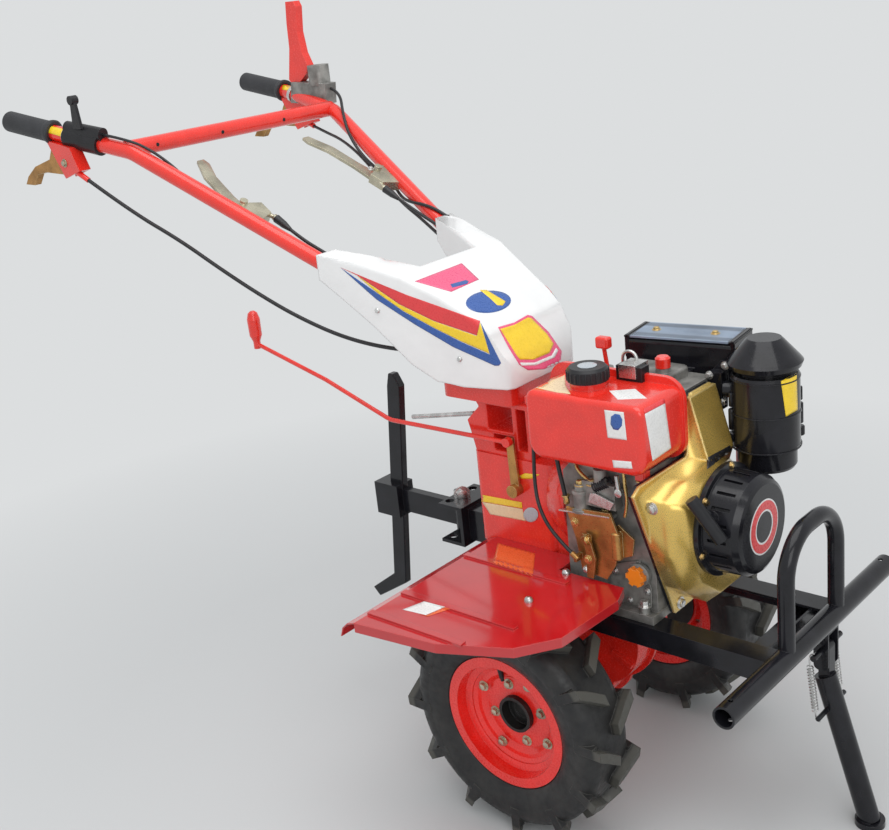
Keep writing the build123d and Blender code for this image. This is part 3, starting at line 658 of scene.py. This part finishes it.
def mirror_copy(original):
    # the same piece on the other side of the machine
    mesh = original.data.copy()
    for vert in mesh.vertices:
        vert.co.y = -vert.co.y
    mesh.flip_normals()
    made = bpy.data.objects.new(original.name + "_other", mesh)
    bpy.context.scene.collection.objects.link(made)
    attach(made, original["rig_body"])
    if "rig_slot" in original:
        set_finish(made, original["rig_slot"])
    return made


def heads_seen(name, node, body, places, width, height, material="zinc", shape=hex_head):
    # bolt or screw heads where the photograph shows them on a node
    def build(bm):
        for pixel in places:
            hit, normal = seen_on(node, pixel)
            shape(bm, hit, normal, width, height)
    return piece(name, mesh_from(name, build), body, material)


def heads(name, body, places, axis, width, height, material="zinc", shape=hex_head):
    def build(bm):
        for place in places:
            shape(bm, at(*place), axis, width, height)
    return piece(name, mesh_from(name, build), body, material)


# Parts of the photograph that were measured enlarged

HOOD_VIEW = (300, 200, 5.227)
CASE_VIEW = (430, 370, 6.272)
HOUSING_VIEW = (600, 310, 5.059)
WHEEL_VIEW = (400, 560, 5.807)
PUMP_VIEW = (480, 440, 7.127)
BAR_VIEW = (0, 0, 5.227)

HOOD_RED = [(210, 352), (560, 497), (942, 632), (925, 708), (700, 632), (520, 545), (400, 462), (300, 395)]
HOOD_YELLOW = [(300, 397), (400, 464), (520, 547), (700, 634), (924, 711), (942, 640), (990, 803), (850, 742),
               (700, 668), (540, 580), (400, 482)]
HOOD_BLUE = [(215, 356), (400, 484), (540, 582), (700, 670), (850, 745), (993, 808), (944, 638), (1051, 852),
             (1040, 866), (1018, 866), (800, 768), (600, 650), (400, 520)]
PANEL_PINK = [(600, 425), (845, 330), (935, 415), (790, 480)]
PANEL_BADGE = [(786, 440), (868, 418), (882, 426), (874, 438), (796, 458)]
LABEL_PINK = [(1035, 665), (1058, 658), (1120, 640), (1190, 600), (1213, 606), (1300, 690), (1368, 790),
              (1362, 850), (1275, 884), (1192, 890), (1147, 862), (1092, 775)]
LABEL_YELLOW = [(1046, 674), (1122, 652), (1192, 613), (1210, 618), (1290, 698), (1326, 752), (1304, 800),
                (1222, 834), (1150, 834), (1132, 812)]
LABEL_BAND = [(1150, 850), (1225, 850), (1316, 812), (1338, 772), (1350, 786), (1330, 824), (1232, 864),
              (1158, 866)]
HOOD_SCREWS = [(405, 578), (835, 832)]
DISC_MIDDLE = (985, 532)
DISC_HALF = (118, 58)
DISC_SLANT = -0.06
DISC_SWEEP = [(940, 470), (975, 470), (1075, 530), (1060, 552), (1030, 550), (1000, 520)]


def oval(middle, half, slant, count):
    # an ellipse in the photograph, half as wide and as high as the two values of half
    points = []
    for index in range(count):
        angle = 2 * math.pi * index / count
        u = half[0] * math.cos(angle)
        points.append((middle[0] + u, middle[1] + half[1] * math.sin(angle) + slant * u))
    return points


def hood_graphics():
    disc = oval(DISC_MIDDLE, DISC_HALF, DISC_SLANT, 28)
    for name, outline, material in (("hood_red_stripe", HOOD_RED, "label_red"),
                                    ("hood_yellow_stripe", HOOD_YELLOW, "label_yellow"),
                                    ("hood_blue_stripe", HOOD_BLUE, "label_blue")):
        thicken(mirror_copy(decal(name, "hood", "handlebar", pixels(HOOD_VIEW, outline), material)))
    for name, outline, material, lift in (
            ("hood_panel", PANEL_PINK, "label_pink", LIFT),
            ("hood_panel_badge", PANEL_BADGE, "label_blue", OVER_LIFT),
            ("hood_disc", disc, "label_blue", LIFT),
            ("hood_disc_sweep", DISC_SWEEP, "label_yellow", OVER_LIFT),
            ("hood_label", LABEL_PINK, "label_pink", LIFT),
            ("hood_label_field", LABEL_YELLOW, "label_yellow", OVER_LIFT),
            ("hood_label_band", LABEL_BAND, "label_white", OVER_LIFT)):
        decal(name, "hood", "handlebar", pixels(HOOD_VIEW, outline), material, lift)
    mirror_copy(heads_seen("hood_screws", "hood", "handlebar", pixels(HOOD_VIEW, HOOD_SCREWS), 9, 3.5, "zinc",
                           dome_head))


hood_graphics()

# Fuel tank: labels, cap and drain valve

TANK_LABEL_NEAR = [(1093, 250), (1215, 265), (1235, 440), (1115, 425)]
TANK_LABEL_SMALL = [(1143, 565), (1262, 575), (1270, 620), (1152, 612)]
TANK_LABEL_REAR = [(645, 108), (700, 75), (845, 20), (852, 95), (882, 152), (790, 140)]
TANK_LABEL_FRONT = [(222, 500), (325, 447), (360, 700), (266, 765)]
TANK_LABEL_HEAD = [(222, 500), (325, 447), (329, 472), (226, 526)]
TANK_EMBLEM = [(1135, 292), (1160, 275), (1190, 280), (1206, 310), (1203, 350), (1180, 378), (1150, 372),
               (1132, 340)]
TANK_TOP_LABEL = [(112, -75), (146, -103), (182, -81), (143, -52)]
TANK_TOP = 712
CAP_PLACE = (68, -66)
CAP_TOP = 744
CAP_RADIUS = 32


def tank_top_label(bm):
    slab(bm, [(x, y, TANK_TOP) for x, y in TANK_TOP_LABEL], (0, 0, 0.4))


def cap_ribs(bm):
    for index in range(24):
        angle = 2 * math.pi * index / 24
        spoke = Vector((math.cos(angle), math.sin(angle), 0))
        foot = at(CAP_PLACE[0], CAP_PLACE[1], 724) + spoke * CAP_RADIUS * MM
        lathe(bm, [(0, 1.6), (14, 1.6), (15, 0.8)], foot, (0, 0, 1), 8)


def cap_disc(bm):
    lathe(bm, [(-0.5, 15), (0.6, 15), (1.0, 14)], at(CAP_PLACE[0], CAP_PLACE[1], CAP_TOP), (0, 0, 1), 32)


def tank_details():
    for name, view, outline, material, lift in (
            ("tank_label_near", CASE_VIEW, TANK_LABEL_NEAR, "label_white", LIFT),
            ("tank_emblem", CASE_VIEW, TANK_EMBLEM, "label_blue", OVER_LIFT),
            ("tank_label_small", CASE_VIEW, TANK_LABEL_SMALL, "label_white", LIFT),
            ("tank_label_rear", CASE_VIEW, TANK_LABEL_REAR, "label_cream", LIFT),
            ("tank_label_front", HOUSING_VIEW, TANK_LABEL_FRONT, "label_white", LIFT),
            ("tank_label_head", HOUSING_VIEW, TANK_LABEL_HEAD, "label_red", OVER_LIFT)):
        decal(name, "fuel_tank", "frame", pixels(view, outline), material, lift)
    piece("tank_label_top", mesh_from("tank_label_top", tank_top_label), "frame", "label_white")
    piece("tank_cap_ribs", mesh_from("tank_cap_ribs", cap_ribs), "frame", "black_plastic")
    piece("tank_cap_disc", mesh_from("tank_cap_disc", cap_disc), "frame", "label_silver")
    piece("drain_valve", mesh_from("drain_valve", lambda bm: brick(bm, (166, -102, 586), (184, -84, 603), 2)),
          "frame", "red_paint")
    heads("drain_nut", "frame", [(175, -93, 586)], (0, 0, -1), 13, 10, "brass")


tank_details()

# Injection pump and governor side of the engine

LEVER_PLATE = [(84, 538), (88, 553), (98, 555), (131, 545), (123, 532)]
SIDE_BRACKET = [(116, 495), (131, 506), (159, 487), (154, 459), (115, 442)]
SIDE_COVER = [(104, 428), (157, 446), (176, 402), (174, 366), (98, 366)]
LIP = [(27, 512), (122, 519), (122, 521.5), (27, 514.5)]
PLATE_BOLTS = [(675, 585), (768, 712), (772, 850)]
COVER_BOLTS = [(110, 418), (150, 436), (168, 396), (166, 374), (106, 374), (135, 372)]
PIPES = (("injector_pipe", 3.2, "brass", [(36, -70, 600), (46, -84, 590), (56, -92, 577), (82, -96, 565)]),
         ("fuel_hose", 3.5, "cable_black", [(17, -95, 604), (20, -96, 585), (27, -96, 550), (31, -97, 532)]),
         ("return_pipe", 2.8, "brass", [(140, -92, 600), (146, -99, 580), (150, -99, 545), (140, -95, 520)]))


def coil(name, body, start, end, radius, turns, wire, material="zinc"):
    # a helical spring between two points
    a = Vector(start)
    b = Vector(end)
    axis = (b - a).normalized()
    across = axis.orthogonal().normalized()
    other = axis.cross(across)
    points = []
    steps = int(turns * 12)
    for index in range(steps + 1):
        angle = 2 * math.pi * turns * index / steps
        spoke = across * math.cos(angle) + other * math.sin(angle)
        points.append(tuple(a + (b - a) * index / steps + spoke * radius))
    return rope(name, body, points, wire, material)


def pump_body(bm):
    lathe(bm, [(0, 15), (5, 15), (6, 12), (30, 12), (31, 14), (36, 14), (37, 9), (46, 9)], at(64, -100, 516),
          (0, 0, 1))
    lathe(bm, [(0, 10), (34, 10), (36, 8)], at(110, -84, 556), (-0.9, -0.3, 0.2))
    brick(bm, (52, -108, 510), (120, -84, 517), 1.5)


def pump_levers(bm):
    slab(bm, [(x, -106, z) for x, z in LEVER_PLATE], (0, -3, 0))
    lathe(bm, [(0, 4), (26, 4)], at(133, -100, 588), (0.1, 0, -1), 16)
    lathe(bm, [(0, 7), (6, 7), (7, 5)], at(135, -97, 560), (0, -1, 0), 20)


def side_bracket(bm):
    slab(bm, [(x, -101, z) for x, z in SIDE_BRACKET], (0, 3, 0))
    lathe(bm, [(0, 7), (2, 8.5), (44, 8.5), (46, 6)], at(130, -105, 450), (0, 0, 1))
    brick(bm, (112, -101, 440), (122, -83, 452), 1)


def side_cover(bm):
    slab(bm, [(x, -83, z) for x, z in SIDE_COVER], (0, -4, 0))
    lathe(bm, [(0, 19), (7, 19), (9, 16)], at(157, -86, 424), (0, -1, 0))


def governor_lip(bm):
    slab(bm, [(x, -111.5, z) for x, z in LIP], (0, 8, 0))


def engine_side():
    for name, build, material in (
            ("pump_body", pump_body, "cast_aluminium"),
            ("pump_levers", pump_levers, "zinc"),
            ("side_bracket", side_bracket, "yellow_zinc"),
            ("governor_lip", governor_lip, "zinc"),
            ("side_cover", side_cover, "cast_aluminium")):
        piece(name, mesh_from(name, build), "frame", material)
    coil("governor_spring", "frame", (92, -100, 561), (118, -100, 575), 8, 7, 1.3, "black_paint")
    for name, radius, material, route in PIPES:
        rope(name, "frame", route, radius, material)
    heads("hose_end", "frame", [(32, -97, 534)], (0.1, 0, -1), 8, 14, "brass")
    heads("pump_unions", "frame", [(64, -100, 560), (84, -97, 564), (104, -94, 517)], (0, 0, 1), 11, 8,
          "brass")
    heads_seen("governor_bolts", "governor_plate", "frame", pixels(PUMP_VIEW, PLATE_BOLTS), 9, 5, "brass")
    heads("governor_ball", "frame", [(74, -110, 422)], (0, -1, 0), 13, 8, "zinc", dome_head)
    heads("side_cover_bolts", "frame", [(x, -87, z) for x, z in COVER_BOLTS], (0, -1, 0), 7, 4)
    heads("engine_feet_bolts", "frame", [(x, y, 374) for x in (44, 166) for y in (-93, 93)], (0, 0, 1), 13, 9)


engine_side()

# Blower housing and recoil starter

HOUSING_BADGE = [(540, 748), (658, 684), (668, 710), (542, 806)]
HOUSING_BOLTS = [(263, 1005), (408, 1480)]
STARTER_Z = 504
STARTER_FACE = 322.0
RING_BANDS = (("starter_ring_white", 24, 43, 0.5, "label_white"),
              ("starter_ring_red", 27, 40.5, 0.8, "label_red"))


def face_ring(name, inner, outer, thickness, material):
    def build(bm):
        lathe(bm, [(-0.3, inner), (thickness, inner), (thickness, outer), (-0.3, outer)],
              at(STARTER_FACE, 0, STARTER_Z), (1, 0, 0), 64, closed=True)
    piece(name, mesh_from(name, build), "frame", material)


def starter_places(radius, count, first):
    places = []
    for index in range(count):
        angle = math.radians(first + 360 * index / count)
        places.append((262, radius * math.cos(angle), STARTER_Z + radius * math.sin(angle)))
    return places


def blower_details():
    for row in RING_BANDS:
        face_ring(*row)
    decal("housing_plate", "blower_housing", "frame", pixels(HOUSING_VIEW, HOUSING_BADGE), "label_black")
    heads_seen("housing_bolts", "blower_housing", "frame", pixels(HOUSING_VIEW, HOUSING_BOLTS), 12, 6)
    heads("starter_bolts", "frame", starter_places(83.5, 6, 20), (1, 0, 0), 7, 4, "brass")


blower_details()

# Air cleaner and muffler

CLEANER = (262, 125)
CLEANER_LABEL = [(915, 360), (995, 318), (1000, 505), (940, 540)]
ARM_BOLTS = [(553, 330), (632, 282), (625, 462)]
MUFFLER_BOLTS = [(54, 151, 739), (155, 165, 739)]


def cleaner_clips(bm):
    # a latch of three turned parts on each side of the can
    for side in (-1, 1):
        spoke = Vector((right.x, right.y, 0)).normalized() * side
        foot = at(CLEANER[0], CLEANER[1], 0) + spoke * 53 * MM
        for z, radius, height in ((592, 7, 16), (612, 5, 34), (650, 4, 22)):
            lathe(bm, [(0, radius * 0.8), (1.5, radius), (height - 1.5, radius), (height, radius * 0.8)],
                  foot + Vector((0, 0, z * MM)), (0, 0, 1), 12)


def cleaner_rings(bm):
    for z, radius in ((584, 53.5), (640, 53.2), (695, 52.6)):
        lathe(bm, [(-1.6, radius - 1), (-1.0, radius + 0.8), (1.0, radius + 0.8), (1.6, radius - 1)],
              at(CLEANER[0], CLEANER[1], z), (0, 0, 1), 64, closed=True)


def muffler_ends(bm):
    for side in (-1, 1):
        x0, x1 = sorted((side * 86, side * 94))
        brick(bm, (x0, -41, 700), (x1, 41, 740), 2)
    turn = Matrix.Rotation(MUFFLER_TURN, 4, "Z")
    bm.transform(Matrix.Translation(at(108, 159, 0)) @ turn @ Matrix.Translation(-AXLE))


def cleaner_and_muffler():
    decal("cleaner_label", "air_cleaner", "frame", pixels(HOUSING_VIEW, CLEANER_LABEL), "label_yellow")
    for name, build in (("cleaner_clips", cleaner_clips), ("cleaner_rings", cleaner_rings),
                        ("muffler_ends", muffler_ends)):
        piece(name, mesh_from(name, build), "frame", "black_paint")
    heads_seen("intake_bolts", "intake_arm", "frame", pixels(HOUSING_VIEW, ARM_BOLTS), 8, 5)
    heads("muffler_bolts", "frame", MUFFLER_BOLTS, (0, 0, 1), 9, 5, "brass")


cleaner_and_muffler()

# Wheels: nuts in the rim and a valve

NUT_RINGS = ((50, 16, 2.0), (70, 62, 9.0))     # radius, first angle and height of the web there


def wheel_nuts(side):
    places = []
    for radius, first, face in NUT_RINGS:
        for quarter in range(4):
            turn = math.radians(first + 90 * quarter)
            height = AXLE_Z + radius * math.sin(turn)
            places.append((radius * math.cos(turn), side * (WHEEL_Y + face), height))
    return places


def valve(side):
    def build(bm):
        upper = Vector((-20, side * 236, AXLE_Z + 84))
        lower = Vector((-16, side * 236, AXLE_Z + 60))
        lathe(bm, [(0, 4.5), (20, 4), (21, 3), (25, 3)], at(*upper), lower - upper, 16)
    return build


def wheel_details():
    for side, body in ((1, "wheel_left"), (-1, "wheel_right")):
        heads("nuts_" + body, body, wheel_nuts(side), (0, side, 0), 11, 7, "lever_zinc")
        piece("valve_" + body, mesh_from("valve_" + body, valve(side)), body, "black_plastic")


wheel_details()

# Gear case, fenders and hitch

CASE_YELLOW = [(312, 780), (575, 830), (580, 868), (325, 825)]
CASE_WHITE = [(328, 828), (580, 872), (600, 948), (378, 905)]
CASE_TAG = [(560, 665), (595, 648), (690, 655), (640, 682), (575, 682)]
CASE_DISC_MIDDLE = (632, 908)
CASE_DISC_RADIUS = 46
FENDER_PLATE = [(425, 1085), (660, 1150), (645, 1295), (395, 1215)]
FENDER_WHITE = [(15, 288), (140, 240), (262, 272), (150, 320)]
FENDER_ORANGE = [(112, 314), (150, 322), (262, 274), (292, 284), (160, 328)]
FENDER_BOLTS = [(748, 240), (965, 80)]
CLEVIS_BOLT = [(200, 778)]


def body_labels():
    disc = oval(CASE_DISC_MIDDLE, (CASE_DISC_RADIUS, CASE_DISC_RADIUS), 0, 24)
    for name, node, view, outline, material, lift in (
            ("case_stripe", "gear_case", CASE_VIEW, CASE_YELLOW, "label_yellow", OVER_LIFT),
            ("case_label", "gear_case", CASE_VIEW, CASE_WHITE, "label_cream", LIFT),
            ("case_disc", "gear_case", CASE_VIEW, disc, "label_silver", TOP_LIFT),
            ("case_tag", "gear_case", CASE_VIEW, CASE_TAG, "label_yellow", LIFT),
            ("fender_plate", "fender_right", CASE_VIEW, FENDER_PLATE, "label_orange", LIFT),
            ("fender_label", "fender_right", WHEEL_VIEW, FENDER_WHITE, "label_white", LIFT),
            ("fender_label_edge", "fender_right", WHEEL_VIEW, FENDER_ORANGE, "label_orange", OVER_LIFT)):
        decal(name, node, "frame", pixels(view, outline), material, lift)
    mirror_copy(heads_seen("fender_bolts", "fender_right", "frame", pixels(WHEEL_VIEW, FENDER_BOLTS), 14, 8,
                           "zinc", dome_head))
    heads_seen("clevis_bolt", "drawbar", "frame", pixels(CASE_VIEW, CLEVIS_BOLT), 18, 7)


body_labels()

# Handlebar details: stickers, clamp bands, grip collars and pins

STICKER_NEAR = [(256, 655), (330, 674), (318, 714), (244, 692)]
STICKER_FAR = [(1480, 443), (1530, 452), (1526, 478), (1474, 468)]
BAR_HOLES = [(825, 755), (1165, 690), (1485, 625)]
TUBE_BEND = Vector((-745, 247, 1089))
TUBE_KNEE = Vector((-925, 281, 1128))


def along_bar(side, distance):
    # a point on the rear run of a handle tube, from the knee towards the cross tube, and the way it runs
    run = (TUBE_BEND - TUBE_KNEE).normalized()
    place = TUBE_KNEE + run * distance
    return at(place.x, side * place.y, place.z), Vector((run.x, side * run.y, run.z))


def clamp_bands(bm):
    for side in (-1, 1):
        place, run = along_bar(side, 34)
        lathe(bm, [(0, 14.6), (9, 14.6), (9, 17), (0, 17)], place, run, 32, closed=True)


def grip_collars(bm):
    for side in (-1, 1):
        place, run = along_bar(side, 1)
        lathe(bm, [(-14, 19.1), (-6, 22), (-1, 22.5), (1, 20), (1, 15), (-14, 15)], place, run, 32,
              closed=True)


def handlebar_details():
    decal("sticker_right", "handlebar", "handlebar", pixels(BAR_VIEW, STICKER_NEAR), "label_yellow")
    decal("sticker_left", "handlebar", "handlebar", pixels(BAR_VIEW, STICKER_FAR), "label_yellow")
    piece("clamp_bands", mesh_from("clamp_bands", clamp_bands), "handlebar", "zinc")
    piece("grip_collars", mesh_from("grip_collars", grip_collars), "handlebar", "grip_rubber")
    heads_seen("bar_holes", "handlebar", "handlebar", pixels(BAR_VIEW, BAR_HOLES), 7, 0.4, "black_plastic",
               dome_head)
    for side, name in ((-1, "right"), (1, "left")):
        heads("lever_pin_" + name, "handlebar", [(-885, side * 296.3, 1076)], (0, side, 0), 9, 5,
              "lever_zinc")
        heads("steer_pin_" + name, "handlebar", [(-557, side * 163, 983), (-571, side * 158, 991)],
              (0.49, 0, 0.87), 7, 4, "zinc")


handlebar_details()

# Prop stand springs, as real coils in place of their plain solids

STAND_Y = 56
SPRING_SIDE = 42
HOOK_WIRE = 1.1


def stand_springs():
    for side, name in ((-1, "right"), (1, "left")):
        y = STAND_Y + side * SPRING_SIDE
        spring = coil("spring_" + name, "stand", (386, y, 280), (394, y, 205), 4.6, 15, 1.0)
        top = [(386, y, 279), (385, y, 288), (386, y, 301), (393, y, 303)]
        low = [(394, y, 206), (394, y, 198), (396, y, 188), (402, y, 187)]
        rope("spring_hook_top_" + name, "stand", top, HOOK_WIRE, "zinc")
        rope("spring_hook_low_" + name, "stand", low, HOOK_WIRE, "zinc")
        if side > 0:
            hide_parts("stand_springs")


stand_springs()

# Floor, sky and soft studio lights

BACKGROUND = (0.716, 0.731, 0.738)
FLOOR_TONE = (0.60, 0.61, 0.615)
SHADOW_REACH = (0.75, 1.9)


def floor_material():
    # matt near the machine, where it keeps the shadow, and plain background further out
    material, tree, shader = new_material("floor_sheet")
    tone = mixed(tree, spread_over(tree, noise(tree, 0.8), 0.0, 1.0), FLOOR_TONE, shade(FLOOR_TONE, 1.01))
    tree.links.new(tone, shader.inputs["Base Color"])
    shader.inputs["Roughness"].default_value = 0.95
    shader.inputs["Specular IOR Level"].default_value = 0.0
    far = tree.nodes.new("ShaderNodeEmission")
    far.inputs["Color"].default_value = BACKGROUND + (1.0,)
    distance = vector_math(tree, "LENGTH", object_place(tree))
    fade = tree.nodes.new("ShaderNodeMixShader")
    tree.links.new(spread_over(tree, distance, 0.0, 1.0, *SHADOW_REACH), fade.inputs[0])
    tree.links.new(shader.outputs[0], fade.inputs[1])
    tree.links.new(far.outputs[0], fade.inputs[2])
    tree.links.new(fade.outputs[0], tree.nodes["Material Output"].inputs["Surface"])
    return material


def make_floor():
    def disc(bm):
        bmesh.ops.create_circle(bm, cap_ends=True, segments=96, radius=80.0)
    floor = bpy.data.objects.new("floor", mesh_from("floor", disc))
    bpy.context.scene.collection.objects.link(floor)
    floor.data.materials.append(floor_material())


def make_sky():
    world = bpy.data.worlds.new("world")
    world.use_nodes = True
    background = world.node_tree.nodes["Background"]
    background.inputs["Color"].default_value = BACKGROUND + (1.0,)
    background.inputs["Strength"].default_value = 1.0
    bpy.context.scene.world = world


def soft_light(name, place, aim, size, power):
    data = bpy.data.lights.new(name, "AREA")
    data.shape = "SQUARE"
    data.size = size
    data.energy = power
    lamp = bpy.data.objects.new(name, data)
    bpy.context.scene.collection.objects.link(lamp)
    lamp.location = place
    lamp.rotation_euler = (aim - place).to_track_quat("-Z", "Y").to_euler()


make_floor()
make_sky()
soft_light("top_light", at(300, -300, 3200), at(0, 0, 500), 2.6, 42.0)
soft_light("front_light", at(2600, -2200, 2300), at(0, 0, 500), 2.0, 26.0)
